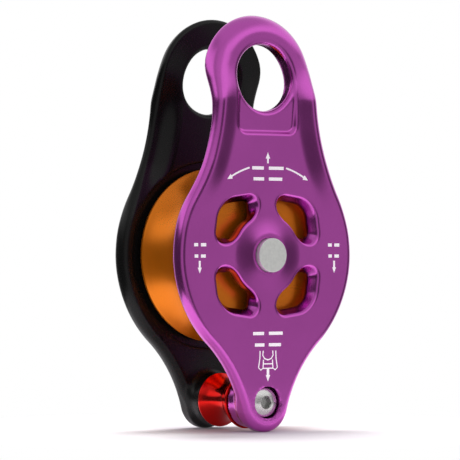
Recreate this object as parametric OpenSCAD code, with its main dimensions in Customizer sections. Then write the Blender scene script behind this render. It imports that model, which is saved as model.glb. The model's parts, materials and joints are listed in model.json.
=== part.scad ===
// Rope pulley with a becket: two forged cheek plates, a rope sheave on a needle roller bearing,
// and a bobbin on a screw at the lower end. Millimetres, +Z up. The origin is the centre of the
// sheave, whose axle lies along Y. The front cheek plate is on the -Y side.

/* [Sheave] */
// Outside diameter of the sheave's flanges
sheave_d = 63.6; // [54:0.2:76]
// Width of the sheave over its flanges
sheave_w = 27.6; // [22:0.2:32]
// Depth of the rope groove
groove_depth = 4.8; // [3:0.1:6]
// Flat width left on each flange's rim beside the groove
rim_land = 0.9; // [0.5:0.1:1.5]
// Chamfer on the outer corner of each flange
rim_chamfer = 0.8; // [0.3:0.1:1.2]

/* [Axle and bearing] */
// Diameter of the axle's shaft
axle_d = 10.4; // [9.5:0.1:12.5]
// Width of the shoulder under the axle's head
axle_shoulder = 0.9; // [0.6:0.05:1.6]
// Thickness of the axle's head
axle_head_t = 3.2; // [2.8:0.1:4]
// Height of the axle's head above the cheek plate's hub
axle_head_proud = 1.8; // [0.5:0.1:2.2]
// Step from the axle's shaft down to the tenon that holds its rear collar
tenon_step = 1.6; // [1.2:0.05:2]
// Wall of the bearing's inner sleeve
sleeve_wall = 2.8; // [1.8:0.1:3.2]
// Diameter of each bearing roller
roller_d = 3; // [2:0.1:4]
// Number of bearing rollers
roller_count = 12; // [8:1:14]
// Wall of the bearing's outer shell
shell_wall = 2; // [1.5:0.1:3]
// Thickness of each thrust washer
washer_t = 0.6; // [0.4:0.1:1]
// Thickness of each bearing seal
seal_t = 1.8; // [1.2:0.1:2.4]
// How far each seal sits in from the sheave's side
seal_inset = 1.1; // [0.5:0.1:1.6]

/* [Cheek plates] */
// Thickness of each cheek plate
plate_t = 6.5; // [6:0.1:10]
// Width of the plate left outside the sheave
plate_margin = 6.7; // [5:0.1:10]
// How much larger the shoulders' radius is than the radius of the plate's round middle
shoulder_grow = 5.5; // [2:0.5:8]
// Angle below the middle at which the lower shoulder starts
lower_turn = 10; // [5:1:15]
// Radius of the hollow curve at the neck
neck_r = 80; // [70:1:120]
// Radius of the hollow curve above the becket end
tail_r = 50; // [40:1:80]
// Depth of the round recess for the sheave on the inner side
recess_depth = 1.5; // [1:0.1:2.5]
// Gap between the sheave's flange and the wall of that recess
recess_gap = 2.2; // [1.5:0.1:4]
// Height of the hub above the plate's outer face
hub_rise = 1.3; // [1:0.1:3]
// Width of the flat ring on the hub around the axle's head
hub_ring = 1.4; // [1:0.05:3]
// Width of the plate left around the bearing, inside the windows
hub_margin = 1.6; // [1:0.1:3]
// Width of the sheave's flange hidden by the plate outside the windows
window_margin = 3.7; // [2:0.1:6]
// Width of the bevel around a window, seen from outside
window_bevel_w = 2.4; // [1:0.1:3]
// Depth of that bevel below the plate's outer face
window_bevel_d = 3.6; // [2:0.1:4]
// Angle between a window's end lobes and its middle
window_half_angle = 19.5; // [17:0.5:22]

/* [Eye] */
// Diameter of the eye
eye_d = 24; // [18:0.5:30]
// Width of the rim around the eye
eye_rim = 10.7; // [8:0.1:13]
// Clear height for rope between the sheave's flange and the eye
rope_room = 19.9; // [16:0.1:28]
// How far the eye's rim stands in from the plate's inner face
eye_lip = 2.4; // [1:0.1:3]
// Bevel at each mouth of the eye
eye_bevel = 1.4; // [0.5:0.1:2]
// Half width of the sunk panel under the eye
panel_half_w = 12.5; // [10:0.1:14]
// Depth of the sunk panel under the eye
panel_depth = 1.2; // [0.5:0.1:2]
// Distance from the eye down to the panel's lower edge
panel_drop = 7.7; // [6:0.1:9]

/* [Becket] */
// Gap between the sheave's flange and the bobbin
becket_gap = 11.2; // [6:0.1:16]
// Outside diameter of the bobbin's flanges
bobbin_d = 19.6; // [17:0.1:21]
// Diameter of the bobbin's waist
waist_d = 12; // [11:0.1:14]
// Length of the bobbin
bobbin_l = 17.2; // [14:0.1:18]
// Radius of the plate's end around the becket screw
becket_end_r = 9.8; // [9.5:0.1:12]
// How far the centre of that end lies below the screw
becket_end_drop = 0.8; // [0:0.1:1.5]
// Nominal diameter of the becket screw's thread
screw_d = 6; // [5:0.5:7]
// Diameter of the screw's button head
screw_head_d = 10.4; // [9.5:0.1:11.4]
// Height of the screw's button head
screw_head_h = 3.3; // [2.5:0.1:4]
// Width across the flats of the screw's hex socket
socket_af = 4; // [3:0.5:5]
// Depth of the screw's hex socket
socket_depth = 2; // [1.5:0.1:2.5]
// Length of thread that the becket nut holds
thread_l = 8; // [6:0.5:9]
// Wall of the spacer sleeve on the screw
spacer_wall = 0.8; // [0.6:0.1:1]
// Wall of each bush in the bobbin
bush_wall = 0.7; // [0.5:0.1:0.9]
// Length of each bush inside the bobbin
bush_l = 5.6; // [4:0.1:6.5]

/* [Clearances] */
// Radial clearance of a running fit
running = 0.05; // [0.02:0.01:0.1]
// Side clearance between turning and fixed faces
side_gap = 0.2; // [0.1:0.05:0.4]
// Radial clearance of a loose hole
loose = 0.15; // [0.1:0.05:0.3]

/* [Hidden] */
$fn = 64;
seg_l = 4;              // longest chord used to draw an arc of an outline
over = 1;               // how far a cutting tool runs past what it cuts

// Bearing, from the axle outwards.
axle_r = axle_d / 2;
sleeve_r = axle_r + sleeve_wall;
race_r = sleeve_r + roller_d;
shell_r = race_r + shell_wall;
roller_pitch_r = (sleeve_r + race_r) / 2;
roller_play = 0.03;
cage_wall = roller_d * 0.6;
cage_end = 0.8;
pocket_play = 0.05;
shell_lip = 0.35;
shell_lip_t = 0.8;
sheave_half = sheave_w / 2;
seal_face = sheave_half - seal_inset - seal_t;
shell_half = seal_face - side_gap;
cage_half = shell_half - shell_lip_t - side_gap;
roller_half = cage_half - cage_end;
seal_lip_play = 0.1;
washer_r = shell_r - 0.4;

// Sheave.
sheave_r = sheave_d / 2;
rim_bevel = 2.4;
groove_half = sheave_half - rim_chamfer - rim_land;
tread_r = sheave_r - groove_depth;
groove_r = (groove_half * groove_half + groove_depth * groove_depth) / (2 * groove_depth);

// Levels of a cheek plate, measured outwards from the middle of the pulley.
y_in = sheave_half + side_gap + washer_t;
y_out = y_in + plate_t;
y_floor = y_in + recess_depth;
y_eye_in = y_in - eye_lip;
y_hub = y_out + hub_rise;
y_head = y_hub + axle_head_proud;
y_seat = y_head - axle_head_t;
y_panel = y_out - panel_depth;

// Heads on the axle.
head_r = axle_r + axle_shoulder;
head_play = 0.2;
head_chamfer = 0.4;
tenon_r = axle_r - tenon_step;

// Centre of the circle that lies at distance ra from a and rb from b, to the right of the way
// from a to b.
function circle_between(a, ra, b, rb) =
    let (d = norm(b - a), u = (b - a) / d, s = (ra * ra - rb * rb + d * d) / (2 * d))
    a + s * u + sqrt(ra * ra - s * s) * [u[1], -u[0]];

function angle_of(v) = atan2(v[1], v[0]);

// Outline of a cheek plate: arcs about seven centres, each tangent to the next.
body_r = sheave_r + plate_margin;
eye_r = eye_d / 2;
eye_out_r = eye_r + eye_rim;
eye_z = sheave_r + rope_room + eye_r;
becket_z = sheave_r + becket_gap + bobbin_d / 2;
shoulder_r = body_r + shoulder_grow;
end_z = becket_z + becket_end_drop;
eye_c = [0, eye_z];
upper_c = [-shoulder_grow, 0];
lower_c = shoulder_grow * [-cos(lower_turn), sin(lower_turn)];
end_c = [0, -end_z];
neck_c = circle_between(upper_c, shoulder_r + neck_r, eye_c, eye_out_r + neck_r);
tail_c = circle_between(end_c, becket_end_r + tail_r, lower_c, shoulder_r + tail_r);

// The rounded edge of a plate is drawn as layers: [inner level, outer level, inset].
edge_in = 1;
edge_out = 2.5;
edge_face = 1;
inset_in = 1.2;
inset_out = 0.7;
inset_face = 2;
layers = [
    [y_in, y_in + edge_in, inset_in],
    [y_in + edge_in, y_out - edge_out, 0],
    [y_out - edge_out, y_out - edge_face, inset_out],
];
shoulder_drop = 6;      // from the eye down to where the outer face steps back
eye_shoulder_z = eye_z - eye_r - shoulder_drop;
lip_inset = 1.5;        // from the eye's outside to its inner lip
cone_foot = 0.5;        // how deep the hub's cone starts in the outer face

// Windows: two end lobes, an outer corner and a hollow side around the hub.
hub_r = shell_r + hub_margin;
window_reach = sheave_r - window_margin;
window_band = window_reach - hub_r;
bevel_steps = 3;        // the bevel is drawn as steps
corner_share = 0.74;    // radii of a window's corner and lobes, as shares of its band
lobe_share = 0.363;
corner_r = window_band * corner_share;
lobe_r = window_band * lobe_share;
corner_u = window_reach - corner_r;
lobe_gap = 0.4;
lobe_dist = hub_r + lobe_gap + lobe_r;
lobe = lobe_dist * [cos(window_half_angle), sin(window_half_angle)];
corner_to_lobe = lobe - [corner_u, 0];
window_normal = atan2(corner_to_lobe[1], corner_to_lobe[0])
    - acos((corner_r - lobe_r) / norm(corner_to_lobe));
hollow_half = window_half_angle - acos((hub_r + lobe_r) / lobe_dist);

// Panel under the eye.
panel_corner_r = 3;
panel_z = eye_z - eye_r - panel_drop;

// Becket, from the screw outwards.
screw_r = screw_d / 2;
shank_r = screw_r - running;
hole_r = screw_r + loose - running;
spacer_r = hole_r + spacer_wall;
bush_in_r = spacer_r + running;
bush_out_r = bush_in_r + bush_wall;
bush_flange_w = 2.6;
bush_flange_r = bush_out_r + bush_flange_w;
bush_flange_t = 0.5;
y_bobbin = bobbin_l / 2;
y_boss = y_bobbin + bush_flange_t + side_gap / 2;
boss_inset = 0.5;
boss_r = becket_end_r - boss_inset;
counterbore_gap = 0.55;
counterbore_r = screw_head_d / 2 + counterbore_gap;
seal_washer_t = 0.6;
screw_head_sunk = 0.6;
screw_head_chamfer = 0.9;
y_screw_head = y_out - screw_head_sunk;
y_screw_seat = y_screw_head - screw_head_h;
y_counterbore = y_screw_seat - seal_washer_t;
nut_sunk = 0.4;
nut_wall = 1.6;
nut_play = 0.1;
y_nut = y_out - nut_sunk;
nut_r = screw_r + nut_wall;
nut_flange_r = counterbore_r - nut_play;
nut_flange_t = 2.4;
screw_tip = 0.6;
waist_depth = (bobbin_d - waist_d) / 2;
bobbin_land = 0.7;
bobbin_chamfer = 0.4;
waist_half = y_bobbin - bobbin_land;
waist_r = (waist_half * waist_half + waist_depth * waist_depth) / (2 * waist_depth);

ROLLERS = [for (i = [1 : roller_count]) str("roller_", i)];

PURPLE = [0.59, 0.29, 0.57];
BLACK = [0.12, 0.12, 0.12];
ORANGE = [0.85, 0.45, 0.12];
RED = [0.78, 0.06, 0.04];
STEEL = [0.78, 0.78, 0.77];
BRONZE = [0.66, 0.5, 0.28];
RUBBER = [0.07, 0.07, 0.07];

// ---- Helpers ----

// Points of an arc about c, from angle a0 to angle a1.
function arc(c, r, a0, a1) =
    let (n = max(2, ceil(abs(a1 - a0) * PI / 180 * r / seg_l)))
    [for (i = [0 : n]) let (a = a0 + (a1 - a0) * i / n) c + r * [cos(a), sin(a)]];

// The same points without the last one, where the next arc starts.
function arc_open(c, r, a0, a1) =
    let (p = arc(c, r, a0, a1)) [for (i = [0 : len(p) - 2]) p[i]];

function mirrored(points) = [for (i = [len(points) - 2 : -1 : 1]) [-points[i][0], points[i][1]]];

// Right half of a plate's outline, from the top of the eye to the bottom, set in by d.
function half_outline(d) =
    let (
        a_eye = angle_of(neck_c - eye_c),
        a_neck = angle_of(neck_c - upper_c),
        a_tail = angle_of(tail_c - lower_c),
        a_end = angle_of(tail_c - end_c)
    )
    concat(
        arc_open(eye_c, eye_out_r - d, 90, a_eye),
        arc_open(neck_c, neck_r + d, 180 + a_eye, 180 + a_neck),
        arc_open(upper_c, shoulder_r - d, a_neck, 0),
        arc_open([0, 0], body_r - d, 0, -lower_turn),
        arc_open(lower_c, shoulder_r - d, -lower_turn, a_tail),
        arc_open(tail_c, tail_r + d, 180 + a_tail, 180 + a_end),
        arc(end_c, becket_end_r - d, a_end, -90)
    );

module plate_outline(d) {
    half = half_outline(d);
    polygon(concat(half, mirrored(half)));
}

// Extrudes a flat shape, drawn in x and z, from level y0 to level y1.
module slab(y0, y1) {
    translate([0, y1, 0]) rotate([90, 0, 0]) linear_extrude(y1 - y0) children();
}

// A round rod along Y from level y0 to level y1.
module rod(r, y0, y1, x = 0, z = 0) {
    translate([x, y1, z]) rotate([90, 0, 0]) cylinder(r = r, h = y1 - y0);
}

// A cone along Y: radius r0 at level y0 and r1 at level y1.
module cone(r0, r1, y0, y1, x = 0, z = 0) {
    translate([x, y0, z]) rotate([-90, 0, 0]) cylinder(r1 = r0, r2 = r1, h = y1 - y0);
}

// A ring along Y with outside radius r1 and bore r0.
module ring(r0, r1, y0, y1, x = 0, z = 0) {
    difference() {
        rod(r1, y0, y1, x, z);
        rod(r0, y0 - over, y1 + over, x, z);
    }
}

// Turns a profile of [radius, level] about the Y axis.
module turned(x = 0, z = 0) {
    translate([x, 0, z]) rotate([-90, 0, 0]) rotate_extrude() children();
}

// ---- Cheek plates ----

// A window set in by d.
module window_outline(d) {
    n = window_normal;
    h = hollow_half;
    upper = concat(
        arc([corner_u, 0], corner_r - d, 0, n),
        arc(lobe, lobe_r - d, n, 180 + h),
        arc([0, 0], hub_r + d, h, 0)
    );
    lower = [for (i = [len(upper) - 2 : -1 : 1]) [upper[i][0], -upper[i][1]]];
    polygon(concat(upper, lower));
}

module windows() {
    step_w = window_bevel_w / bevel_steps;
    step_d = window_bevel_d / bevel_steps;
    for (k = [0 : 3]) {
        slab(y_in - over, y_hub + over) rotate(45 + 90 * k) window_outline(window_bevel_w);
        for (i = [0 : bevel_steps - 1])
            slab(y_out - (i + 0.5) * step_d, y_hub + over)
                rotate(45 + 90 * k) window_outline(i * step_w);
    }
}

module panel_outline() {
    w = panel_half_w - panel_corner_r;
    z = panel_z + panel_corner_r;
    polygon(concat(
        [[panel_half_w, eye_z], [-panel_half_w, eye_z]],
        arc([-w, z], panel_corner_r, 180, 270),
        arc([w, z], panel_corner_r, 270, 360)
    ));
}

module eye_hole() {
    rod(eye_r, y_eye_in - over, y_out + over, 0, eye_z);
    cone(eye_r + eye_bevel, eye_r, y_eye_in, y_eye_in + eye_bevel, 0, eye_z);
    cone(eye_r, eye_r + eye_bevel, y_out - edge_face - eye_bevel, y_out - edge_face, 0, eye_z);
}

// A cheek plate on the +Y side. What differs between the two sides is cut afterwards.
module plate_body() {
    difference() {
        union() {
            for (l = layers) slab(l[0], l[1]) plate_outline(l[2]);
            intersection() {
                slab(y_out - edge_face, y_out) plate_outline(inset_face);
                translate([-body_r, 0, -2 * body_r])
                    cube([2 * body_r, y_out, eye_shoulder_z + 2 * body_r]);
            }
            cone(hub_r, head_r + hub_ring, y_out - cone_foot, y_hub);
            rod(eye_out_r - lip_inset, y_eye_in, y_in + edge_in, 0, eye_z);
            rod(boss_r, y_boss, y_in + edge_in, 0, -becket_z);
        }
        difference() {
            rod(sheave_r + recess_gap, y_in - over, y_floor);
            rod(washer_r, y_in - 2 * over, y_floor + over);
        }
        windows();
        slab(y_panel, y_out + over) panel_outline();
        eye_hole();
        rod(axle_r + running, y_in - over, y_hub + over);
        rod(head_r + head_play, y_seat, y_hub + over);
        rod(hole_r, y_boss - over, y_out + over, 0, -becket_z);
    }
}

module front_plate() {
    color(PURPLE) mirror([0, 1, 0]) difference() {
        plate_body();
        rod(counterbore_r, y_counterbore, y_out + over, 0, -becket_z);
    }
}

module rear_plate() {
    color(BLACK) difference() {
        plate_body();
        rod(nut_r, y_nut - thread_l, y_out + over, 0, -becket_z);
        rod(counterbore_r, y_nut - nut_flange_t, y_out + over, 0, -becket_z);
    }
}

// ---- Axle and bearing ----

module axle() {
    color(STEEL) {
        rod(axle_r, -y_seat, y_seat);
        rod(head_r, head_chamfer - y_head, -y_seat);
        cone(head_r - head_chamfer, head_r, -y_head, head_chamfer - y_head);
        rod(tenon_r, y_seat, y_head);
    }
}

module axle_rear_collar() {
    color(STEEL) difference() {
        union() {
            rod(head_r, y_seat, y_head - head_chamfer);
            cone(head_r, head_r - head_chamfer, y_head - head_chamfer, y_head);
        }
        rod(tenon_r, y_seat - over, y_head + over);
    }
}

module bearing_inner_sleeve() {
    color(STEEL) ring(axle_r + running, sleeve_r, -y_in, y_in);
}

module bearing_outer_shell() {
    color(STEEL) difference() {
        rod(shell_r, -shell_half, shell_half);
        rod(race_r, shell_lip_t - shell_half, shell_half - shell_lip_t);
        rod(race_r - shell_lip, -shell_half - over, shell_half + over);
    }
}

module roller_cage() {
    pocket_half = roller_half + side_gap / 2;
    color(BRONZE) difference() {
        ring(roller_pitch_r - cage_wall / 2, roller_pitch_r + cage_wall / 2, -cage_half, cage_half);
        for (i = [1 : roller_count])
            rotate([0, roller_angle(i), 0])
                rod(roller_d / 2 + pocket_play, -pocket_half, pocket_half, roller_pitch_r, 0);
    }
}

function roller_angle(i) = -360 * (i - 1) / roller_count;

module roller(i) {
    color(STEEL) rotate([0, roller_angle(i), 0])
        rod(roller_d / 2 - roller_play, -roller_half, roller_half, roller_pitch_r, 0);
}

module thrust_washer() {
    color(BRONZE) ring(sleeve_r + running, washer_r, y_in - washer_t, y_in);
}

module front_thrust_washer() {
    mirror([0, 1, 0]) thrust_washer();
}

module rear_thrust_washer() {
    thrust_washer();
}

module seal() {
    color(RUBBER) ring(sleeve_r + seal_lip_play, shell_r, seal_face, seal_face + seal_t);
}

module front_seal() {
    mirror([0, 1, 0]) seal();
}

module rear_seal() {
    seal();
}

module sheave() {
    rim = sheave_half - rim_chamfer;
    color(ORANGE) turned() difference() {
        polygon([
            [shell_r, -sheave_half], [sheave_r - rim_bevel, -sheave_half], [sheave_r, -rim],
            [sheave_r, rim], [sheave_r - rim_bevel, sheave_half], [shell_r, sheave_half],
        ]);
        translate([tread_r + groove_r, 0]) circle(r = groove_r);
    }
}

// ---- Becket ----

module becket_screw() {
    z = -becket_z;
    edge = screw_head_chamfer;
    color(STEEL) difference() {
        union() {
            rod(shank_r, -y_screw_seat, y_nut - screw_tip, 0, z);
            cone(shank_r, shank_r - screw_tip, y_nut - screw_tip, y_nut, 0, z);
            rod(screw_head_d / 2, edge - y_screw_head, -y_screw_seat, 0, z);
            cone(screw_head_d / 2 - edge, screw_head_d / 2, -y_screw_head, edge - y_screw_head, 0, z);
        }
        translate([0, socket_depth - y_screw_head, z]) rotate([90, 0, 0])
            cylinder(r = socket_af / sqrt(3), h = socket_depth + over, $fn = 6);
    }
}

module screw_seal_washer() {
    color(RUBBER)
        ring(shank_r + running, counterbore_r - running, -y_screw_seat, -y_counterbore, 0, -becket_z);
}

module becket_nut() {
    z = -becket_z;
    color(STEEL) difference() {
        union() {
            rod(nut_r, y_nut - thread_l, y_nut, 0, z);
            rod(nut_flange_r, y_nut - nut_flange_t, y_nut, 0, z);
        }
        rod(screw_r, y_nut - thread_l - over, y_nut + over, 0, z);
    }
}

module spacer_sleeve() {
    color(STEEL) ring(hole_r, spacer_r, -y_boss, y_boss, 0, -becket_z);
}

module bobbin() {
    z = -becket_z;
    side_r = bobbin_d / 2 - bobbin_chamfer;
    rim = y_bobbin - bobbin_chamfer;
    color(RED) turned(0, z) difference() {
        polygon([
            [bush_out_r, -y_bobbin], [side_r, -y_bobbin], [bobbin_d / 2, -rim],
            [bobbin_d / 2, rim], [side_r, y_bobbin], [bush_out_r, y_bobbin],
        ]);
        translate([waist_d / 2 + waist_r, 0]) circle(r = waist_r);
    }
}

module bobbin_bush() {
    z = -becket_z;
    color(BRONZE) difference() {
        union() {
            rod(bush_out_r, y_bobbin - bush_l, y_bobbin, 0, z);
            rod(bush_flange_r, y_bobbin, y_bobbin + bush_flange_t, 0, z);
        }
        rod(bush_in_r, 0, y_boss, 0, z);
    }
}

module front_bobbin_bush() {
    mirror([0, 1, 0]) bobbin_bush();
}

module rear_bobbin_bush() {
    bobbin_bush();
}

front_plate();
rear_plate();
axle();
axle_rear_collar();
bearing_inner_sleeve();
bearing_outer_shell();
roller_cage();
for (i = [1 : roller_count])
    roller(i);
front_thrust_washer();
rear_thrust_washer();
front_seal();
rear_seal();
sheave();
becket_screw();
screw_seal_washer();
becket_nut();
spacer_sleeve();
bobbin();
front_bobbin_bush();
rear_bobbin_bush();
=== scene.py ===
"""Looks for the rope pulley: forged cheek plates, turned parts and studio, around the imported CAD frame.

Lengths inside the shape functions are in millimetres, in the CAD frame, and become metres
when a mesh is made. "Level" is a distance along Y from the middle of the pulley, positive outwards.
"""
import json
import math

import bpy
import numpy as np
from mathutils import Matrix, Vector


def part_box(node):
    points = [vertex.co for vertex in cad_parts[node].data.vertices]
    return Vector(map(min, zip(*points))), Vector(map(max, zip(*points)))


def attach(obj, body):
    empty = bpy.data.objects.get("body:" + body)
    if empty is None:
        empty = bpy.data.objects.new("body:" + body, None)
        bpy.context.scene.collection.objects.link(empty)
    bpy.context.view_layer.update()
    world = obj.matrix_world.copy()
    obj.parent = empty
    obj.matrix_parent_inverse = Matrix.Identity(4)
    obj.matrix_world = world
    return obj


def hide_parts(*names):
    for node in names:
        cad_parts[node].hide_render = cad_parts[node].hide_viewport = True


MM = 0.001
COS_30 = 0.8660254
COS_45 = 0.7071

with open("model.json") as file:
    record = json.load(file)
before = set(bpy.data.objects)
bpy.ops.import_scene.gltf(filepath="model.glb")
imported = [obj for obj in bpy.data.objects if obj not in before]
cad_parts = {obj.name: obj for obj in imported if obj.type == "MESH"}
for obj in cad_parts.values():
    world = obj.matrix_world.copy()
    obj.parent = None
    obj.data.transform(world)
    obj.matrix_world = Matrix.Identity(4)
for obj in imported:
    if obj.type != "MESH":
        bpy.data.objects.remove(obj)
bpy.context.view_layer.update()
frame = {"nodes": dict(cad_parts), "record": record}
mounts = {m["name"]: m for m in frame["record"]["mounts"]}


def node_box(name):
    """Lowest and highest corner of a CAD node in millimetres."""
    low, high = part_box(name)
    return Vector(low) / MM, Vector(high) / MM


# ---------------------------------------------------------------- sizes from the frame

PLATE_LOW, PLATE_HIGH = node_box("rear_plate")
SHEAVE_HIGH = node_box("sheave")[1]
AXLE_LOW, AXLE_HIGH = node_box("axle")
COLLAR_LOW, COLLAR_HIGH = node_box("axle_rear_collar")
SLEEVE_HIGH = node_box("bearing_inner_sleeve")[1]
SHELL_HIGH = node_box("bearing_outer_shell")[1]
WASHER_LOW, WASHER_HIGH = node_box("rear_thrust_washer")
SEAL_LOW, SEAL_HIGH = node_box("rear_seal")
SCREW_LOW, SCREW_HIGH = node_box("becket_screw")
GASKET_LOW, GASKET_HIGH = node_box("screw_seal_washer")
NUT_LOW, NUT_HIGH = node_box("becket_nut")
SPACER_HIGH = node_box("spacer_sleeve")[1]
BOBBIN_HIGH = node_box("bobbin")[1]
BUSH_LOW, BUSH_HIGH = node_box("rear_bobbin_bush")

EYE_Z = mounts["top_eye"]["pos_m"][2] / MM
EYE_R = mounts["top_eye"]["dims"]["r_mm"]
BECKET_Z = mounts["becket"]["pos_m"][2] / MM

BODY_R = PLATE_HIGH.x                       # round middle of the cheek plate
EYE_OUT_R = PLATE_HIGH.z - EYE_Z            # outside of the eye's rim
END_Z = BECKET_Z - 0.8                      # rounded becket end
END_R = END_Z - PLATE_LOW.z
SHOULDER_GROW = 5.5                         # shoulders' radius beyond the body's
SHOULDER_R = BODY_R + SHOULDER_GROW
LOWER_TURN = math.radians(10)               # where the lower shoulder starts
NECK_R = 80.0                               # hollow curve of the neck
TAIL_R = 50.0                               # hollow curve above the becket end

SHEAVE_R = SHEAVE_HIGH.x
SHEAVE_HALF = SHEAVE_HIGH.y
GROOVE_DEPTH = 4.8
FLANGE_LAND = 1.5                           # flange width left beside the groove

HUB_LEVEL = PLATE_HIGH.y                    # flat ring round the axle's head
HUB_RISE = 1.3
FACE_LEVEL = HUB_LEVEL - HUB_RISE           # outer face of the plate
INNER_LEVEL = WASHER_HIGH.y                 # inner face of the plate
FLOOR_LEVEL = INNER_LEVEL + 1.5             # floor of the recess round the sheave
EYE_LIP = 1.9                               # the eye's rim stands in from the inner face
EYE_DROP = 0.9                              # and back from the outer face
RIB_RISE = 1.4                              # ribs along the neck's edges: height over the face
RIB_HOLLOW = 3.4                            # and how far their inner side steps back
PANEL_LEVEL = FACE_LEVEL - 1.3              # sunk panel under the eye
BOSS_LEVEL = SPACER_HIGH.y                  # inner boss round the becket screw
HEAD_LEVEL = -AXLE_LOW.y                    # face of the axle's head
HEAD_R = COLLAR_HIGH.x
SEAT_LEVEL = COLLAR_LOW.y                   # seat of the axle's head and collar
SLEEVE_WALL = 2.8                           # wall of the bearing's inner sleeve
AXLE_R = SLEEVE_HIGH.x - SLEEVE_WALL
TENON_R = AXLE_R - 1.6                      # thinner rear end that takes the collar
SCREW_FACE_LEVEL = -SCREW_LOW.y
SCREW_HEAD_R = SCREW_HIGH.x
SCREW_SEAT_LEVEL = -GASKET_LOW.y
COUNTERBORE_LEVEL = -GASKET_HIGH.y
COUNTERBORE_R = GASKET_HIGH.x + 0.05
SCREW_HOLE_R = 3.1
SCREW_BORE_R = 3.0                          # bore of the nut and the sealing washer
GASKET_T = 0.6
NUT_BODY_R = 4.55
NUT_FLANGE_T = 2.4
HUB_R = SHELL_HIGH.x + 1.6                  # hollow side of the windows
HUB_RING_R = HEAD_R + 1.4
HUB_FOOT_R = 14.8                           # where the hub's slope has run out
WINDOW_BEVEL = 2.4                          # bevel round a window, seen from outside
WINDOW_BEVEL_DEPTH = 3.6
WINDOW_SIDE = 23.9                          # outer sides of a window, from the sheave's axis
WINDOW_TOP = 22.9
WINDOW_LEAN = math.radians(8)               # those sides lean towards the window's outer corner
WINDOW_INNER = 3.7                          # sides of a window beside the spokes

ROLLER_LOW, ROLLER_HIGH = node_box("roller_1")
ROLLER_R = ROLLER_HIGH.z
ROLLER_CIRCLE_R = (ROLLER_HIGH.x + ROLLER_LOW.x) / 2
ROLLERS = sum(name.startswith("roller_") for name in frame["nodes"]) - 1
WAIST_R = 6.0
BUSH_R = SPACER_HIGH.x + 0.75               # outside of the bobbin's bushes
SHANK_R = 2.95
DOME_R = 12.0                               # ball that rounds the screw's head
SOCKET_HALF = 2.0                           # half the width across the hex socket's flats
SOCKET_DEPTH = 2.0
THREAD_PITCH = 1.0
THREAD_DEPTH = 0.55
THREAD_START = NUT_LOW.y - 1.5
MARK_RISE = 0.04                            # how far the marks stand on the face


# ---------------------------------------------------------------- distance fields

def round_and(a, b, radius):
    """Both solids at once, with the edge where they meet rounded."""
    corner = np.hypot(np.maximum(a + radius, 0), np.maximum(b + radius, 0))
    return np.minimum(np.maximum(a, b), -radius) + corner


def round_or(a, b, radius):
    """Either solid, with a fillet in the corner where they meet."""
    return -round_and(-a, -b, radius)


def cut(solid, tool, radius):
    """The solid without the tool, with the new edges rounded."""
    return round_and(solid, -tool, radius)


def ease(t):
    """0 below 0, 1 above 1, smooth between."""
    t = np.clip(t, 0, 1)
    return t * t * (3 - 2 * t)


def circle_between(a, radius_a, b, radius_b):
    """Centre of the circle at those distances from a and b, to the right of the way from a to b."""
    a, b = np.array(a), np.array(b)
    distance = np.linalg.norm(b - a)
    along = (b - a) / distance
    share = (radius_a ** 2 - radius_b ** 2 + distance ** 2) / (2 * distance)
    across = math.sqrt(radius_a ** 2 - share ** 2)
    return a + share * along + across * np.array([along[1], -along[0]])


EYE_C = (0.0, EYE_Z)
END_C = (0.0, END_Z)
UPPER_C = (-SHOULDER_GROW, 0.0)
LOWER_C = (-SHOULDER_GROW * math.cos(LOWER_TURN), SHOULDER_GROW * math.sin(LOWER_TURN))
LOWER_START = (BODY_R * math.cos(LOWER_TURN), -BODY_R * math.sin(LOWER_TURN))
NECK_C = circle_between(UPPER_C, SHOULDER_R + NECK_R, EYE_C, EYE_OUT_R + NECK_R)
TAIL_C = circle_between(END_C, END_R + TAIL_R, LOWER_C, SHOULDER_R + TAIL_R)


def side_of(x, z, start, end):
    """Positive to the left of the line from start to end."""
    return (end[0] - start[0]) * (z - start[1]) - (end[1] - start[1]) * (x - start[0])


def outline(x, z):
    """Distance from the cheek plate's outline, negative inside."""
    x = np.abs(x)
    return np.select(
        [
            side_of(x, z, EYE_C, NECK_C) >= 0,
            side_of(x, z, UPPER_C, NECK_C) >= 0,
            z >= 0,
            side_of(x, z, (0, 0), LOWER_START) >= 0,
            side_of(x, z, LOWER_C, TAIL_C) >= 0,
            side_of(x, z, END_C, TAIL_C) >= 0,
        ],
        [
            np.hypot(x, z - EYE_Z) - EYE_OUT_R,
            NECK_R - np.hypot(x - NECK_C[0], z - NECK_C[1]),
            np.hypot(x - UPPER_C[0], z) - SHOULDER_R,
            np.hypot(x, z) - BODY_R,
            np.hypot(x - LOWER_C[0], z - LOWER_C[1]) - SHOULDER_R,
            TAIL_R - np.hypot(x - TAIL_C[0], z - TAIL_C[1]),
        ],
        np.hypot(x, z - END_Z) - END_R,
    )


def window(x, z):
    """Distance from the four windows, negative inside one."""
    x, z = np.abs(x), np.abs(z)
    ahead, across = math.cos(WINDOW_LEAN), math.sin(WINDOW_LEAN)
    outer = round_and(x * ahead + z * across - WINDOW_SIDE, z * ahead + x * across - WINDOW_TOP, 7)
    spoke = np.maximum(WINDOW_INNER - x, WINDOW_INNER - z)
    inner = round_and(spoke, HUB_R - np.hypot(x, z), 4.4)
    return round_and(outer, inner, 4.9)


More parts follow.
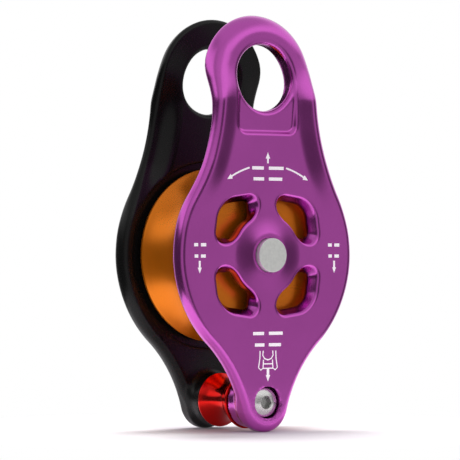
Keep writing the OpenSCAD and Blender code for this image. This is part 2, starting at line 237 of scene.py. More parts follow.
def forging(x, level, z):
    """Distance field of the cheek plate as it is forged, before anything is cut in it.

    The neck's edges stand up as ribs that run from the eye down to the body, on both sides of
    the plate: the outer face rises to them, and the inner side steps back behind them.
    """
    d = outline(x, z)
    up_neck = ease((z - 8) / 26)
    up_eye = ease((z - 54) / 18)
    rib = ease((d + 11) / 9) * ease((z - 12) / 22)
    hub = np.clip((HUB_FOOT_R - np.hypot(x, z)) / (HUB_FOOT_R - HUB_RING_R), 0, 1)
    lean = 0.055 * np.maximum(z - 56, 0)
    face = FACE_LEVEL + RIB_RISE * rib * (1 - ease((z - 54) / 14)) - EYE_DROP * up_eye - lean
    face = face + HUB_RISE * hub ** 1.4
    inner = INNER_LEVEL + RIB_HOLLOW * rib * (1 - ease((z - 46) / 24)) - EYE_LIP * up_eye - lean
    solid = round_and(d, level - face, 2.4 + 1.4 * up_neck + 3.0 * up_eye)
    solid = round_and(solid, inner - level, 3.2 - 0.7 * up_neck - 1.0 * up_eye)

    from_screw = np.hypot(x, z - BECKET_Z)
    boss = round_and(from_screw - (END_R - 0.5), BOSS_LEVEL - level, 0.6)
    boss = np.maximum(boss, level - (INNER_LEVEL + 3))
    return np.maximum(round_or(solid, boss, 2.5), d)


def plate(x, level, z, front):
    """Distance field of a finished cheek plate: the front takes the screw's head, the rear the nut."""
    from_axle = np.hypot(x, z)
    from_eye = np.hypot(x, z - EYE_Z)
    from_screw = np.hypot(x, z - BECKET_Z)
    solid = forging(x, level, z)

    recess = np.maximum(from_axle - (SHEAVE_R + 2.2), level - FLOOR_LEVEL)
    recess = round_and(recess, WASHER_HIGH.x - from_axle, 0.3)
    solid = cut(solid, recess, 0.8)
    bevel = np.clip((FACE_LEVEL - level) / WINDOW_BEVEL_DEPTH, 0, 1) * WINDOW_BEVEL
    bevel = bevel * ease((from_axle - HUB_R) / 4)
    solid = cut(solid, (window(x, z) + bevel) * 0.85, 0.7)

    panel = round_and(np.abs(x) - 12.5, 44.0 - z, 3.0)
    panel = round_and(panel, PANEL_LEVEL + 0.8 * ease((z - 46) / 12) - level, 0.9)
    solid = cut(solid, panel, 1.2)
    solid = cut(solid, from_eye - EYE_R, 2.1)

    solid = cut(solid, from_axle - (AXLE_R + 0.05), 0.2)
    solid = cut(solid, np.maximum(from_axle - (HEAD_R + 0.3), SEAT_LEVEL - level), 0.3)
    solid = cut(solid, from_screw - SCREW_HOLE_R, 0.2)
    if front:
        return cut(solid, np.maximum(from_screw - COUNTERBORE_R, COUNTERBORE_LEVEL - level), 0.3)
    nut_seat = np.maximum(from_screw - COUNTERBORE_R, NUT_HIGH.y - NUT_FLANGE_T - level)
    nut_hole = np.maximum(from_screw - 4.6, NUT_LOW.y - level)
    return cut(cut(solid, nut_seat, 0.3), nut_hole, 0.2)


# ---------------------------------------------------------------- meshes

def add_mesh(name, points, faces, sharp_degrees=38):
    """A mesh object from points in millimetres, smooth but for edges sharper than that."""
    mesh = bpy.data.meshes.new(name)
    mesh.from_pydata((np.asarray(points) * MM).tolist(), [], faces)
    mesh.validate()
    mesh.shade_smooth()
    mesh.set_sharp_from_angle(angle=math.radians(sharp_degrees))
    piece = bpy.data.objects.new(name, mesh)
    bpy.context.scene.collection.objects.link(piece)
    return piece


def gradient(field, points):
    """Unit normals of a field at the points, by central differences."""
    h = 0.01
    steps = np.eye(3) * h
    g = np.stack([field(*(points + s).T) - field(*(points - s).T) for s in steps], axis=1)
    return g / np.maximum(np.linalg.norm(g, axis=1, keepdims=True), 1e-9)


def contour(field, low, high, step):
    """Points and quads of the surface where the field is 0, by dual contouring on a cubic grid."""
    axes = [np.arange(a, b + step, step) for a, b in zip(low, high)]
    values = field(*np.meshgrid(*axes, indexing="ij"))
    inside = values < 0
    cells = np.array(values.shape) - 1
    origin = np.array([a[0] for a in axes])

    crossing_points, crossing_cells, quads = [], [], []
    for axis in range(3):
        near = [slice(None)] * 3
        far = [slice(None)] * 3
        near[axis], far[axis] = slice(None, -1), slice(1, None)
        changed = np.argwhere(inside[tuple(near)] != inside[tuple(far)])
        if not len(changed):
            continue
        ahead = changed.copy()
        ahead[:, axis] += 1
        va, vb = values[tuple(changed.T)], values[tuple(ahead.T)]
        unit = np.eye(3)[axis] * step
        start = origin + changed * step
        share = va / (va - vb)
        for _ in range(3):
            vm = field(*(start + share[:, None] * unit).T)
            share = np.clip(share - vm * (1 / (vb - va)), 0, 1)
        crossing = start + share[:, None] * unit

        u, v = np.eye(3, dtype=int)[(axis + 1) % 3], np.eye(3, dtype=int)[(axis + 2) % 3]
        corners = np.stack([changed - u - v, changed - v, changed, changed - u], axis=1)
        ids = np.ravel_multi_index(tuple(np.moveaxis(corners, 2, 0)), cells)
        crossing_points.append(np.repeat(crossing, 4, axis=0))
        crossing_cells.append(ids.ravel())
        quads.append(np.where((va < 0)[:, None], ids, ids[:, ::-1]))

    points = np.concatenate(crossing_points)
    used, place = np.unique(np.concatenate(crossing_cells), return_inverse=True)
    count = np.bincount(place)

    def total(values_per_crossing):
        return np.bincount(place, weights=values_per_crossing, minlength=len(used))

    centre = np.stack([total(points[:, i]) for i in range(3)], axis=1) / count[:, None]
    normals = gradient(field, points)
    pull = np.einsum("ij,ij->i", normals, points - centre[place])
    right = np.stack([total(normals[:, i] * pull) for i in range(3)], axis=1)
    left = np.array([[total(normals[:, i] * normals[:, j]) for j in range(3)] for i in range(3)])
    left = np.moveaxis(left, 2, 0) + 0.1 * np.eye(3)
    shift = np.linalg.solve(left, right[:, :, None])[:, :, 0]
    shift = np.clip(shift, -0.6 * step, 0.6 * step)
    rank = {cell: i for i, cell in enumerate(used.tolist())}
    faces = [[rank[c] for c in q] for q in np.concatenate(quads).tolist()]
    return centre + shift, faces


def arc_points(centre, radius, start, end, count):
    """Points of an arc, with the angles in degrees."""
    angles = np.radians(np.linspace(start, end, count))
    return [(centre[0] + radius * math.cos(a), centre[1] + radius * math.sin(a)) for a in angles]


def rounded(corners, steps=5):
    """A closed profile from corners (radius, level, fillet)."""
    path = []
    count = len(corners)
    for i, (r, y, fillet) in enumerate(corners):
        here = np.array([r, y])
        if not fillet:
            path.append(tuple(here))
            continue
        before = np.array(corners[i - 1][:2]) - here
        after = np.array(corners[(i + 1) % count][:2]) - here
        before, after = before / np.linalg.norm(before), after / np.linalg.norm(after)
        half = math.acos(np.clip(before @ after, -1, 1)) / 2
        reach = fillet / math.tan(half)
        for k in range(steps + 1):
            t = k / steps
            a, b = here + before * reach, here + after * reach
            path.append(tuple((1 - t) ** 2 * a + 2 * t * (1 - t) * here + t ** 2 * b))
    return path


def turned(name, profile, x=0.0, z=0.0, segments=96):
    """A closed profile of (radius, level along Y) turned about Y through x, z."""
    ring = np.array(profile)
    area = np.sum(ring[:, 0] * np.roll(ring[:, 1], -1) - np.roll(ring[:, 0], -1) * ring[:, 1])
    if area > 0:
        ring = ring[::-1]
    count = len(ring)
    angles = np.linspace(0, 2 * math.pi, segments, endpoint=False)
    on_axis = ring[:, 0] < 1e-6
    points, index = [], np.zeros((segments, count), int)
    for j, (radius, level) in enumerate(ring):
        for i, a in enumerate(angles):
            if on_axis[j] and i:
                index[i, j] = index[0, j]
                continue
            index[i, j] = len(points)
            points.append((x + radius * math.cos(a), level, z + radius * math.sin(a)))
    faces = []
    for i in range(segments):
        for j in range(count):
            if on_axis[j] and on_axis[(j + 1) % count]:
                continue
            n, m = (i + 1) % segments, (j + 1) % count
            quad = [index[i, j], index[n, j], index[n, m], index[i, m]]
            faces.append([int(q) for k, q in enumerate(quad) if q != quad[k - 1]])
    return add_mesh(name, points, faces)


def settle(piece, body, slot, material, *nodes):
    """Gives a piece its body and material, and hides the CAD nodes that it stands for. slot is not used.
    """
    piece.data.materials.append(material)
    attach(piece, body)
    if nodes:
        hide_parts(*nodes)
    return piece


# ---------------------------------------------------------------- materials

class Graph:
    """Short calls for making shader nodes."""

    def __init__(self, tree):
        self.tree = tree
        tree.nodes.clear()

    def add(self, kind, **settings):
        node = self.tree.nodes.new(kind)
        for key, value in settings.items():
            setattr(node, key, value)
        return node

    def put(self, socket, value):
        if isinstance(value, bpy.types.NodeSocket):
            self.tree.links.new(value, socket)
        else:
            socket.default_value = value

    def math(self, operation, a, b=0.0):
        node = self.add("ShaderNodeMath", operation=operation)
        for socket, value in zip(node.inputs, (a, b)):
            self.put(socket, value)
        return node.outputs[0]

    def vector(self, operation, a, b=(0, 0, 0)):
        node = self.add("ShaderNodeVectorMath", operation=operation)
        self.put(node.inputs[0], a)
        self.put(node.inputs[1], b)
        return node.outputs["Value" if operation in ("DOT_PRODUCT", "LENGTH") else "Vector"]

    def ramp(self, value, low, high, to_low=0.0, to_high=1.0):
        node = self.add("ShaderNodeMapRange", interpolation_type="SMOOTHSTEP")
        for socket, v in zip(node.inputs, (value, low, high, to_low, to_high)):
            self.put(socket, v)
        return node.outputs[0]

    def mix(self, share, a, b):
        node = self.add("ShaderNodeMix", data_type="RGBA")
        self.put(node.inputs["Factor"], share)
        self.put(node.inputs[6], a)
        self.put(node.inputs[7], b)
        return node.outputs[2]

    def noise(self, where, scale, detail=3.0):
        node = self.add("ShaderNodeTexNoise")
        self.put(node.inputs["Vector"], where)
        node.inputs["Scale"].default_value = scale
        node.inputs["Detail"].default_value = detail
        return node.outputs["Fac"]

    def place(self):
        return self.add("ShaderNodeTexCoord").outputs["Object"]

    def bump(self, height, strength, distance):
        node = self.add("ShaderNodeBump")
        node.inputs["Strength"].default_value = strength
        node.inputs["Distance"].default_value = distance
        self.put(node.inputs["Height"], height)
        return node.outputs["Normal"]

    def surface(self, **sockets):
        shader = self.add("ShaderNodeBsdfPrincipled")
        for name, value in sockets.items():
            self.put(shader.inputs[name.replace("_", " ")], value)
        out = self.add("ShaderNodeOutputMaterial")
        self.tree.links.new(shader.outputs[0], out.inputs[0])


def new_material(name):
    material = bpy.data.materials.new(name)
    material.use_nodes = True
    return material, Graph(material.node_tree)


def tone(colour, factor):
    return tuple(min(1.0, c * factor) for c in colour) + (1.0,)


def anodised(name, colour, roughness, metallic=1.0, coat=0.12, specular=0.5, wall_tone=None):
    """Anodised aluminium: tinted metal with a fine blasted grain and slightly uneven dye.

    wall_tone darkens the walls deep in the windows. It stands for shade, not for a real change of dye.
    """
    material, g = new_material(name)
    where = g.place()
    cloud = g.noise(where, 45, 4)
    grain = g.noise(where, 2600, 2)
    dye = g.mix(g.ramp(cloud, 0.3, 0.7), tone(colour, 0.95), tone(colour, 1.05))
    dye = g.mix(g.ramp(grain, 0.3, 0.7, 0.0, 0.25), dye, tone(colour, 0.85))
    if wall_tone:
        level = g.vector("LENGTH", g.vector("MULTIPLY", where, (0, 1, 0)))
        from_axle = g.vector("LENGTH", g.vector("MULTIPLY", where, (1, 0, 1)))
        depth = g.ramp(level, (FACE_LEVEL - 3.4) * MM, (FACE_LEVEL - 2.2) * MM, 1, 0)
        depth = g.math("MULTIPLY", depth, g.ramp(from_axle, 24 * MM, 27 * MM, 1, 0))
        dye = g.mix(depth, dye, tone(colour, wall_tone))
    gloss = g.math("ADD", g.ramp(grain, 0.25, 0.75, roughness - 0.02, roughness + 0.02),
                   g.ramp(cloud, 0.3, 0.7, -0.02, 0.02))
    g.surface(Base_Color=dye, Metallic=metallic, Roughness=gloss, Coat_Weight=coat, Coat_Roughness=0.25,
              Specular_IOR_Level=specular, Normal=g.bump(grain, 0.08, 0.00003))
    return material


def turned_metal(name, colour, roughness, centre, ring_scale, strength=0.15, metallic=1.0,
                 socket=None):
    """Metal faced on a lathe: fine rings about the line along Y through centre.

    socket is the tone of the metal inside the screw's socket, darkened to stand for shade.
    """
    material, g = new_material(name)
    where = g.place()
    offset = g.vector("SUBTRACT", where, centre)
    flat = g.vector("MULTIPLY", offset, (1, 0, 1))
    radius = g.vector("LENGTH", flat)
    rings = g.math("SINE", g.math("MULTIPLY", radius, ring_scale))
    uneven = g.noise(where, 900, 3)
    height = g.math("ADD", rings, g.math("MULTIPLY", uneven, 0.03))
    shade = g.mix(g.ramp(uneven, 0.3, 0.7), tone(colour, 0.95), tone(colour, 1.03))
    gloss = g.ramp(uneven, 0.3, 0.7, roughness - 0.03, roughness + 0.04)
    if socket:
        inside = g.ramp(radius, (SOCKET_HALF + 0.1) * MM, (SOCKET_HALF + 0.5) * MM, 1, 0)
        shade = g.mix(inside, shade, tone(colour, socket))
    g.surface(Base_Color=shade, Metallic=metallic, Roughness=gloss,
              Normal=g.bump(height, strength, 0.00001))
    return material


def rubber(name, colour):
    material, g = new_material(name)
    where = g.place()
    grain = g.noise(where, 3000, 3)
    shade = g.mix(g.ramp(grain, 0.3, 0.7), tone(colour, 0.8), tone(colour, 1.3))
    g.surface(Base_Color=shade, Roughness=g.ramp(grain, 0.3, 0.7, 0.5, 0.65),
              Normal=g.bump(grain, 0.2, 0.00005))
    return material


def porous_bronze(name, colour):
    """Sintered bronze: dark pores in a dull gold metal."""
    material, g = new_material(name)
    where = g.place()
    pores = g.ramp(g.noise(where, 2200, 5), 0.35, 0.5)
    shade = g.mix(pores, tone(colour, 0.45), tone(colour, 1.0))
    g.surface(Base_Color=shade, Metallic=1.0, Roughness=g.ramp(pores, 0, 1, 0.6, 0.34),
              Normal=g.bump(pores, 0.3, 0.00003))
    return material


def laser_white(name):
    """Bleached laser marking: flat, dry white with a trace of the metal under it, and a faint painted
    glow.
    """
    material, g = new_material(name)
    grain = g.noise(g.place(), 4000, 2)
    shade = g.mix(g.ramp(grain, 0.3, 0.7), (0.90, 0.82, 0.90, 1), (0.98, 0.95, 0.98, 1))
    # painted light: the marks glow faintly, so that they look whiter than their lighting makes them
    g.surface(Base_Color=shade, Roughness=0.6, Normal=g.bump(grain, 0.1, 0.00002),
              Emission_Color=(1.0, 0.93, 1.0, 1), Emission_Strength=0.32)
    return material


AXLE_LINE = (0, 0, 0)
SCREW_LINE = (0, 0, BECKET_Z * MM)
purple = anodised("purple_anodised", (0.63, 0.118, 0.56), 0.20, 1.0, 0.04, wall_tone=0.3)
black = anodised("black_anodised", (0.006, 0.006, 0.006), 0.27, 0.0, 0.0, 0.26)
orange = anodised("orange_anodised", (0.95, 0.24, 0.003), 0.30, 0.70, 0.15)
red = anodised("red_anodised", (0.78, 0.006, 0.003), 0.15, 1.0, 0.3)
head_steel = turned_metal("axle_steel", (0.90, 0.91, 0.88), 0.40, AXLE_LINE, 26000, 0.1, 0.5)
screw_steel = turned_metal("screw_steel", (0.80, 0.80, 0.78), 0.26, SCREW_LINE, 30000, 0.03, 0.8, 0.45)
race_steel = turned_metal("race_steel", (0.62, 0.63, 0.64), 0.2, AXLE_LINE, 40000, 0.1)
brass = turned_metal("cage_brass", (0.80, 0.58, 0.25), 0.3, AXLE_LINE, 20000)
bronze = porous_bronze("bronze", (0.62, 0.42, 0.20))
black_rubber = rubber("black_rubber", (0.02, 0.02, 0.02))
marking = laser_white("marking_white")


# ---------------------------------------------------------------- cheek plates

def cheek_plate(name, front):
    step = 0.6
    low = (-BODY_R - 1.3, BOSS_LEVEL - 1.1, PLATE_LOW.z - 1.2)
    high = (BODY_R + 1.3, HUB_LEVEL + 1.1, PLATE_HIGH.z + 1.2)
    points, faces = contour(lambda x, y, z: plate(x, y, z, front), low, high, step)
    if front:
        points = points * (1, -1, 1)
        faces = [f[::-1] for f in faces]
    return add_mesh(name, points, faces)


front_plate = cheek_plate("front_plate", True)
settle(front_plate, "frame", "purple_anodised", purple, "front_plate")
rear_plate = cheek_plate("rear_plate", False)
settle(rear_plate, "frame", "black_anodised", black, "rear_plate")


# ---------------------------------------------------------------- sheave, axle and bearing

def groove(depth, half, base, count=25):
    """A hollow arc across a rim, from one flange to the other."""
    radius = (half * half + depth * depth) / (2 * depth)
    edge = math.degrees(math.asin(half / radius))
    return [(base + radius - radius * math.cos(a), radius * math.sin(a))
            for a in np.radians(np.linspace(-edge, edge, count))]


def hollow_turned(name, outer_r, half, bore_r, depth, land, edge, x=0.0, z=0.0, segments=160):
    """A sheave or bobbin: bore, flat sides, rounded flanges and a hollow arc between them."""
    arc = groove(depth, half - land, outer_r - depth)
    above = [(outer_r, half - land, 0.3), (outer_r, half, edge), (bore_r, half, 0.3)]
    below = [(r, -y, f) for r, y, f in above[::-1]]
    ring = rounded([*below, *[(r, y, 0) for r, y in arc[1:-1]], *above])
    return turned(name, ring, x, z, segments)


sheave = hollow_turned("sheave", SHEAVE_R, SHEAVE_HALF, SHELL_HIGH.x, GROOVE_DEPTH, FLANGE_LAND, 1.0)
settle(sheave, "sheave", "orange_anodised", orange, "sheave")

axle = turned("axle", rounded([
    (0, -HEAD_LEVEL, 0), (HEAD_R, -HEAD_LEVEL, 0.2), (HEAD_R, -SEAT_LEVEL, 0.1),
    (AXLE_R, -SEAT_LEVEL, 0.1), (AXLE_R, SEAT_LEVEL, 0.1), (TENON_R, SEAT_LEVEL, 0),
    (TENON_R, AXLE_HIGH.y, 0.25), (2.2, AXLE_HIGH.y, 0.2), (1.6, AXLE_HIGH.y - 0.4, 0.3),
    (0, AXLE_HIGH.y - 0.4, 0),
]))
settle(axle, "frame", "bright_steel", head_steel, "axle")


def sleeve(name, low, high, bore, outside, edge=0.2, x=0.0, z=0.0):
    """A plain ring with its edges broken."""
    return turned(name, rounded([(bore, low, edge), (outside, low, edge),
                                 (outside, high, edge), (bore, high, edge)]), x, z)


collar = sleeve("axle_rear_collar", SEAT_LEVEL, HEAD_LEVEL, TENON_R, HEAD_R, 0.3)
settle(collar, "frame", "bright_steel", head_steel, "axle_rear_collar")

inner_sleeve = sleeve("bearing_inner_sleeve", -INNER_LEVEL, INNER_LEVEL, AXLE_R + 0.05, SLEEVE_HIGH.x)
settle(inner_sleeve, "frame", "bearing_steel", race_steel, "bearing_inner_sleeve")

race = ROLLER_CIRCLE_R + ROLLER_R + 0.03     # the rollers run on this, between the shell's two lips
lip, lip_r = SHELL_HIGH.y - 0.8, race - 0.35
shell = turned("bearing_outer_shell", rounded([
    (lip_r, -SHELL_HIGH.y, 0.1), (SHELL_HIGH.x, -SHELL_HIGH.y, 0.4),
    (SHELL_HIGH.x, SHELL_HIGH.y, 0.4), (lip_r, SHELL_HIGH.y, 0.1),
    (lip_r, lip, 0.1), (race, lip, 0.05), (race, -lip, 0.05), (lip_r, -lip, 0.1),
]))
settle(shell, "sheave", "bearing_steel", race_steel, "bearing_outer_shell")

for index in range(ROLLERS):
    name = f"roller_{index + 1}"
    angle = 2 * math.pi * index / ROLLERS
    x, z = ROLLER_CIRCLE_R * math.cos(angle), ROLLER_CIRCLE_R * math.sin(angle)
    half = ROLLER_HIGH.y
    crowned = rounded([(0, -half, 0), (ROLLER_R - 0.02, -half, 0.35), (ROLLER_R, 0, 2.0),
                       (ROLLER_R - 0.02, half, 0.35), (0, half, 0)])
    settle(turned(name, crowned, x, z, 24), name, "bearing_steel", race_steel, name)

for side, name in ((-1, "front_thrust_washer"), (1, "rear_thrust_washer")):
    low, high = sorted((side * WASHER_LOW.y, side * WASHER_HIGH.y))
    washer = sleeve(name, low, high, SLEEVE_HIGH.x + 0.05, WASHER_HIGH.x, 0.12)
    settle(washer, "frame", "bronze", bronze, name)

for side, name in ((-1, "front_seal"), (1, "rear_seal")):
    outside, inside, middle = side * SEAL_HIGH.y, side * SEAL_LOW.y, side * (SEAL_LOW.y + 0.9)
    lips = [(SLEEVE_HIGH.x + 0.1, outside, 0.1), (SEAL_HIGH.x, outside, 0.2), (SEAL_HIGH.x, inside, 0.2),
            (SLEEVE_HIGH.x + 1.4, inside, 0.2), (SLEEVE_HIGH.x + 1.1, middle, 0.1),
            (SLEEVE_HIGH.x + 0.1, middle, 0.1)]
    settle(turned(name, rounded(lips, 3)), "sheave", "black_rubber", black_rubber, name)


# ---------------------------------------------------------------- becket

bobbin = hollow_turned("bobbin", BOBBIN_HIGH.x, BOBBIN_HIGH.y, BUSH_R, BOBBIN_HIGH.x - WAIST_R, 0.7, 0.5,
                       0, BECKET_Z, 96)
settle(bobbin, "bobbin", "red_anodised", red, "bobbin")

for side, name in ((-1, "front_bobbin_bush"), (1, "rear_bobbin_bush")):
    bore, flange, face, end = SPACER_HIGH.x + 0.05, BUSH_HIGH.x, side * BUSH_HIGH.y, side * BUSH_LOW.y
    bush = rounded([(bore, face, 0.15), (flange, face, 0.15), (flange, face - side * 0.5, 0.1),
                    (BUSH_R, face - side * 0.5, 0.1), (BUSH_R, end, 0.15), (bore, end, 0.1)], 3)
    settle(turned(name, bush, 0, BECKET_Z, 64), "bobbin", "bronze", bronze, name)

spacer = sleeve("spacer_sleeve", -SPACER_HIGH.y, SPACER_HIGH.y, SCREW_HOLE_R, SPACER_HIGH.x,
                0.15, 0, BECKET_Z)
settle(spacer, "frame", "bearing_steel", race_steel, "spacer_sleeve")

gasket = sleeve("screw_seal_washer", -COUNTERBORE_LEVEL - GASKET_T, -COUNTERBORE_LEVEL, SCREW_BORE_R,
                GASKET_HIGH.x, 0.25, 0, BECKET_Z)
settle(gasket, "screw_seal_washer", "black_rubber", black_rubber, "screw_seal_washer")

nut = turned("becket_nut", rounded([
    (SCREW_BORE_R, NUT_LOW.y, 0.3), (NUT_BODY_R, NUT_LOW.y, 0.3),
    (NUT_BODY_R, NUT_HIGH.y - NUT_FLANGE_T, 0.2), (NUT_HIGH.x, NUT_HIGH.y - NUT_FLANGE_T, 0.2),
    (NUT_HIGH.x, NUT_HIGH.y, 0.4), (4.6, NUT_HIGH.y, 0.1), (4.4, NUT_HIGH.y - 0.3, 0.1),
    (3.6, NUT_HIGH.y - 0.3, 0.1), (SCREW_BORE_R, NUT_HIGH.y - 0.7, 0.1),
], 3), 0, BECKET_Z, 72)
settle(nut, "frame", "bright_steel", screw_steel, "becket_nut")


def screw_field(x, y, z):
    """Distance field of the becket screw: button head with a hex socket, shank and M6 thread."""
    r = np.hypot(x, z - BECKET_Z)
    out = -y - SCREW_FACE_LEVEL                     # positive in front of the head
    dome = np.hypot(r, out + DOME_R) - DOME_R
    head = round_and(r - SCREW_HEAD_R, round_and(dome, out, 0.3), 0.25)
    head = np.maximum(head, y + SCREW_SEAT_LEVEL)
    step = np.abs(r - 3.55) - 0.16
    head = cut(head, np.maximum(step, -0.22 - out), 0.08)

    angle = np.arctan2(z - BECKET_Z, x)
    turns = (y / THREAD_PITCH + angle / (2 * math.pi)) % 1.0
    groove_depth = THREAD_DEPTH * (1 - np.abs(2 * turns - 1))
    threaded = ease((y - THREAD_START) / 0.6)
    shank = r - (SHANK_R - groove_depth * threaded)
    shank = np.maximum(shank * 0.75, np.maximum(r - SHANK_R, -SCREW_SEAT_LEVEL - 1 - y))
    tip = (r - SHANK_R + 0.7 + y - SCREW_HIGH.y) * COS_45
    shank = np.maximum(shank, np.maximum(tip, y - SCREW_HIGH.y))
    solid = np.minimum(head, shank)

    px, pz = np.abs(x), np.abs(z - BECKET_Z)
    hexagon = np.maximum(pz, COS_30 * px + 0.5 * pz) - SOCKET_HALF
    socket = np.maximum(hexagon, -SOCKET_DEPTH - out)
    socket = np.minimum(socket, np.maximum(r - 2.45 - 0.8 * (out + 0.25), -0.6 - out))
    return cut(solid, socket, 0.06)


def becket_screw():
    step = 0.17
    margin = 0.4
    low = (-SCREW_HEAD_R - margin, SCREW_LOW.y - margin, BECKET_Z - SCREW_HEAD_R - margin)
    high = (SCREW_HEAD_R + margin, SCREW_HIGH.y + margin, BECKET_Z + SCREW_HEAD_R + margin)
    points, faces = contour(screw_field, low, high, step)
    return add_mesh("becket_screw", points, faces, 30)


settle(becket_screw(), "becket_screw", "bright_steel", screw_steel, "becket_screw")


# ---------------------------------------------------------------- cage: the CAD node stays

cage_slots = frame["nodes"]["roller_cage"].data.materials
cage_slots.clear()
cage_slots.append(brass)


# ---------------------------------------------------------------- marks on the front plate

def prism(shapes, name):
    """Flat closed shapes (x, z), counter-clockwise seen from the front, as marks on the front face."""
    points, faces = [], []
    for shape in shapes:
        start, count = len(points), len(shape)
        points += [(x, -FACE_LEVEL - MARK_RISE, z) for x, z in shape]
        points += [(x, -FACE_LEVEL + 0.05, z) for x, z in shape]
        faces.append([start + i for i in range(count)])
        faces.append([start + count + i for i in reversed(range(count))])
        for i in range(count):
            j = (i + 1) % count
            faces.append([start + j, start + i, start + count + i, start + count + j])
    return add_mesh(name, points, faces)


def counter_clockwise(shape):
    """The same closed shape, turned round if it runs clockwise."""
    twice_area = sum(a[0] * b[1] - b[0] * a[1] for a, b in zip(shape, shape[1:] + shape[:1]))
    return shape if twice_area > 0 else shape[::-1]


def bar(x0, z0, x1, z1, width):
    """A straight stroke from one point to another."""
    ahead = np.array([x1 - x0, z1 - z0])
    side = np.array([-ahead[1], ahead[0]]) / np.linalg.norm(ahead) * width / 2
    a, b = np.array([x0, z0]), np.array([x1, z1])
    return [tuple(a - side), tuple(b - side), tuple(b + side), tuple(a + side)]


def stroke(path, width):
    """A bent line as one closed band."""
    path = np.array(path)
    ahead = np.gradient(path, axis=0)
    side = np.stack([-ahead[:, 1], ahead[:, 0]], axis=1)
    side = side / np.linalg.norm(side, axis=1, keepdims=True) * width / 2
    band = []
    for i in range(len(path) - 1):
        band.append([tuple(p) for p in (path[i] - side[i], path[i + 1] - side[i + 1],
                                        path[i + 1] + side[i + 1], path[i] + side[i])])
    return band


def arrow(x0, z0, x1, z1, width=0.7, head=2.3):
    """A straight arrow that ends in a filled tip."""
    start, end = np.array([x0, z0]), np.array([x1, z1])
    ahead = (end - start) / np.linalg.norm(end - start)
    side = np.array([-ahead[1], ahead[0]])
    neck = end - ahead * head
    tip = [tuple(neck - side * head * 0.42), tuple(end), tuple(neck + side * head * 0.42)]
    return [bar(x0, z0, *neck, width), tip]


def rating_lines():
    """Short plain bars where the real plate has its load ratings."""
    rows = [(0, 31.2, 7.0), (0, 27.3, 6.4), (0, -28.0, 6.6), (0, -32.1, 5.8)]
    rows += [(side * 29.8, z, w) for side in (-1, 1) for z, w in ((3.7, 2.6), (-0.3, 2.4))]
    bars = []
    for x, z, half in rows:
        gap = 0.12 * half + 0.3
        middle = x - 0.1 * half
        bars.append(bar(x - half, z, middle - gap, z, 1.15))
        bars.append(bar(middle + gap, z, x + half, z, 1.15))
    return bars


def sweep_arrow(side):
    """The bent arrow beside the upper rating, ending at the left (-1) or right (1)."""
    path = [(side * x, z) for x, z in arc_points((0, -0.3), 32.6, 75.5, 60.5, 9)]
    end, last = np.array(path[-1]), np.array(path[-2])
    ahead = (end - last) / np.linalg.norm(end - last)
    across = np.array([-ahead[1], ahead[0]])
    tip = [tuple(end - across * 0.95), tuple(end + ahead * 2.2), tuple(end + across * 0.95)]
    return stroke(path, 0.6) + [tip]


def becket_sign():
    """An eye laced round a bobbin between two cheeks, drawn with thin lines."""
    lines = [bar(-2.0, -38.9, 2.0, -38.9, 0.4), bar(-2.1, -40.5, 2.1, -40.5, 0.4)]
    for side in (-1, 1):
        cheek = [(side * x, z) for x, z in [(3.5, -34.2), (3.6, -37.0), (4.2, -40.2), (3.2, -41.1),
                                            (2.2, -40.4), (2.0, -37.4)]]
        eye = [(side * x, z) for x, z in [(2.1, -34.2), (2.3, -35.8), (1.5, -37.0), (0, -37.5)]]
        lines += stroke(cheek, 0.42) + stroke(eye, 0.42)
    return lines


shapes = rating_lines() + arrow(0, 32.9, 0, 36.9) + arrow(0, -40.7, 0, -45.2, 1.1, 2.3)
shapes += sweep_arrow(-1) + sweep_arrow(1) + becket_sign()
for side in (-1, 1):
    shapes += arrow(side * 30, -2.0, side * 30, -6.4, 0.8, 2.0)
marks = prism([counter_clockwise(shape) for shape in shapes], "front_plate_marks")
settle(marks, "frame", "purple_anodised", marking)


# ---------------------------------------------------------------- studio

def studio_light():
    """A bright ceiling, and a dim horizon with dark and pale cards. The camera itself sees plain white."""
    scene = bpy.context.scene
    scene.world = bpy.data.worlds.new("studio")
    scene.world.use_nodes = True
    g = Graph(scene.world.node_tree)
    look = g.add("ShaderNodeTexCoord").outputs["Generated"]
    height = g.vector("DOT_PRODUCT", look, (0, 0, 1))
    ceiling = g.ramp(height, 0.22, 0.40, 0, 1)
    ceiling = g.math("ADD", ceiling, g.ramp(height, 0.55, 0.85, 0, -0.75))
    near_camera = g.ramp(g.vector("DOT_PRODUCT", look, CEILING_GAP), 0.84, 0.96, 0, CEILING_GAP_DEPTH)
    ceiling = g.math("MULTIPLY", ceiling, g.math("SUBTRACT", 1.0, near_camera))
    horizon = HORIZON
    for towards, start, full, change in HORIZON_CARDS:
        facing = g.vector("DOT_PRODUCT", look, towards)
        horizon = g.math("ADD", g.ramp(facing, start, full, 0, change), horizon)
    horizon = g.math("MAXIMUM", horizon, HORIZON_FLOOR)
    horizon = g.math("MULTIPLY", horizon, g.math("SUBTRACT", 1.0, ceiling))
    light = g.math("ADD", g.math("MULTIPLY", ceiling, CEILING), horizon)
    seen = g.add("ShaderNodeLightPath").outputs["Is Camera Ray"]
    light = g.math("ADD", g.math("MULTIPLY", light, g.math("SUBTRACT", 1.0, seen)), seen)
    shader = g.add("ShaderNodeBackground")
    shader.inputs["Color"].default_value = (1, 1, 1, 1)
    g.put(shader.inputs["Strength"], light)
    out = g.add("ShaderNodeOutputWorld")
    g.tree.links.new(shader.outputs[0], out.inputs[0])


CEILING = 0.98                              # brightness of the ceiling, and of the horizon
HORIZON = 0.46
HORIZON_FLOOR = 0.04                        # no card makes the horizon darker than this
CEILING_GAP = (-0.62, -0.62, 0.48)          # up and to the left of the camera the ceiling is dark
CEILING_GAP_DEPTH = 0.65
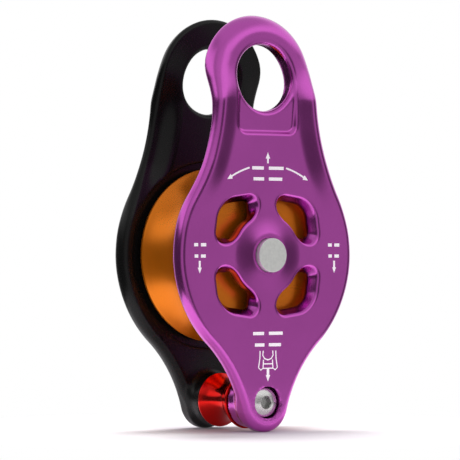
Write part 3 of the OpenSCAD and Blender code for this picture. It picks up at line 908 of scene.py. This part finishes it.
# Cards round the horizon: direction, where the card starts and is full (as a cosine), brightness change.
HORIZON_CARDS = [
    ((0.14, -0.99, 0), 0.92, 0.985, -0.34),
    ((-0.95, 0.3, 0), 0.3, 0.75, -0.38),
    ((0.93, -0.37, 0), 0.91, 0.985, -0.34),
    ((0.15, 0.99, 0), 0.85, 0.95, 0.60),
    ((0.90, 0.44, 0), 0.90, 0.97, 0.50),
]


TABLE_R = 118.0
TABLE_SIDES = 96
PATCH_X, PATCH_Y = 0.034, 0.040            # reach of the painted shadow on the table, metres


def floor():
    """A round white table, with a painted shadow under the pulley that deepens its real one."""
    z = PLATE_LOW.z - 0.05
    angles = np.linspace(0, 2 * math.pi, TABLE_SIDES, False)
    rim = [(TABLE_R * math.cos(a), TABLE_R * math.sin(a), z) for a in angles]
    piece = add_mesh("floor", rim, [list(range(TABLE_SIDES))])
    material, g = new_material("floor_white")
    # painted shadow: the table's colour darkens towards the spot under the pulley
    spread = g.vector("LENGTH", g.vector("MULTIPLY", g.place(), (1 / PATCH_X, 1 / PATCH_Y, 0)))
    shade = g.mix(g.ramp(spread, 0.2, 1.0), (0.50, 0.42, 0.50, 1), (0.93, 0.90, 0.93, 1))
    g.surface(Base_Color=shade, Roughness=0.7,
              Emission_Color=(1.0, 0.94, 1.0, 1), Emission_Strength=0.05)
    piece.data.materials.append(material)


def area_light(name, place, target, size, watts):
    """A round soft lamp that isn't seen in reflections."""
    lamp = bpy.data.lights.new(name, "AREA")
    lamp.shape = "DISK"
    lamp.size = size
    lamp.energy = watts
    piece = bpy.data.objects.new(name, lamp)
    piece.location = place
    piece.rotation_euler = (Vector(target) - Vector(place)).to_track_quat("-Z", "Y").to_euler()
    piece.visible_glossy = False
    bpy.context.scene.collection.objects.link(piece)


CAMERA_TURN = math.radians(36)              # camera to the left of the front
CAMERA_DISTANCE = 1.15
CAMERA_HEIGHT = 0.0
CAMERA_LENS = 247.5
AIM_HEIGHT = 0.00916
AIM_LEFT = 0.00118


def camera():
    data = bpy.data.cameras.new("camera")
    data.lens = CAMERA_LENS
    data.sensor_width = 36
    data.clip_end = 20
    piece = bpy.data.objects.new("camera", data)
    away = Vector((-math.sin(CAMERA_TURN), -math.cos(CAMERA_TURN), 0))
    right = Vector((math.cos(CAMERA_TURN), -math.sin(CAMERA_TURN), 0))
    aim = Vector((0, 0, AIM_HEIGHT)) - right * AIM_LEFT
    piece.location = away * CAMERA_DISTANCE - right * AIM_LEFT + Vector((0, 0, CAMERA_HEIGHT))
    piece.rotation_euler = (aim - piece.location).to_track_quat("-Z", "Y").to_euler()
    bpy.context.scene.collection.objects.link(piece)
    bpy.context.scene.camera = piece


studio_light()
floor()
area_light("overhead", (0.12, 0.28, 1.1), (0, 0, 0), 0.45, 10)
camera()
bpy.context.scene.view_settings.view_transform = "Standard"
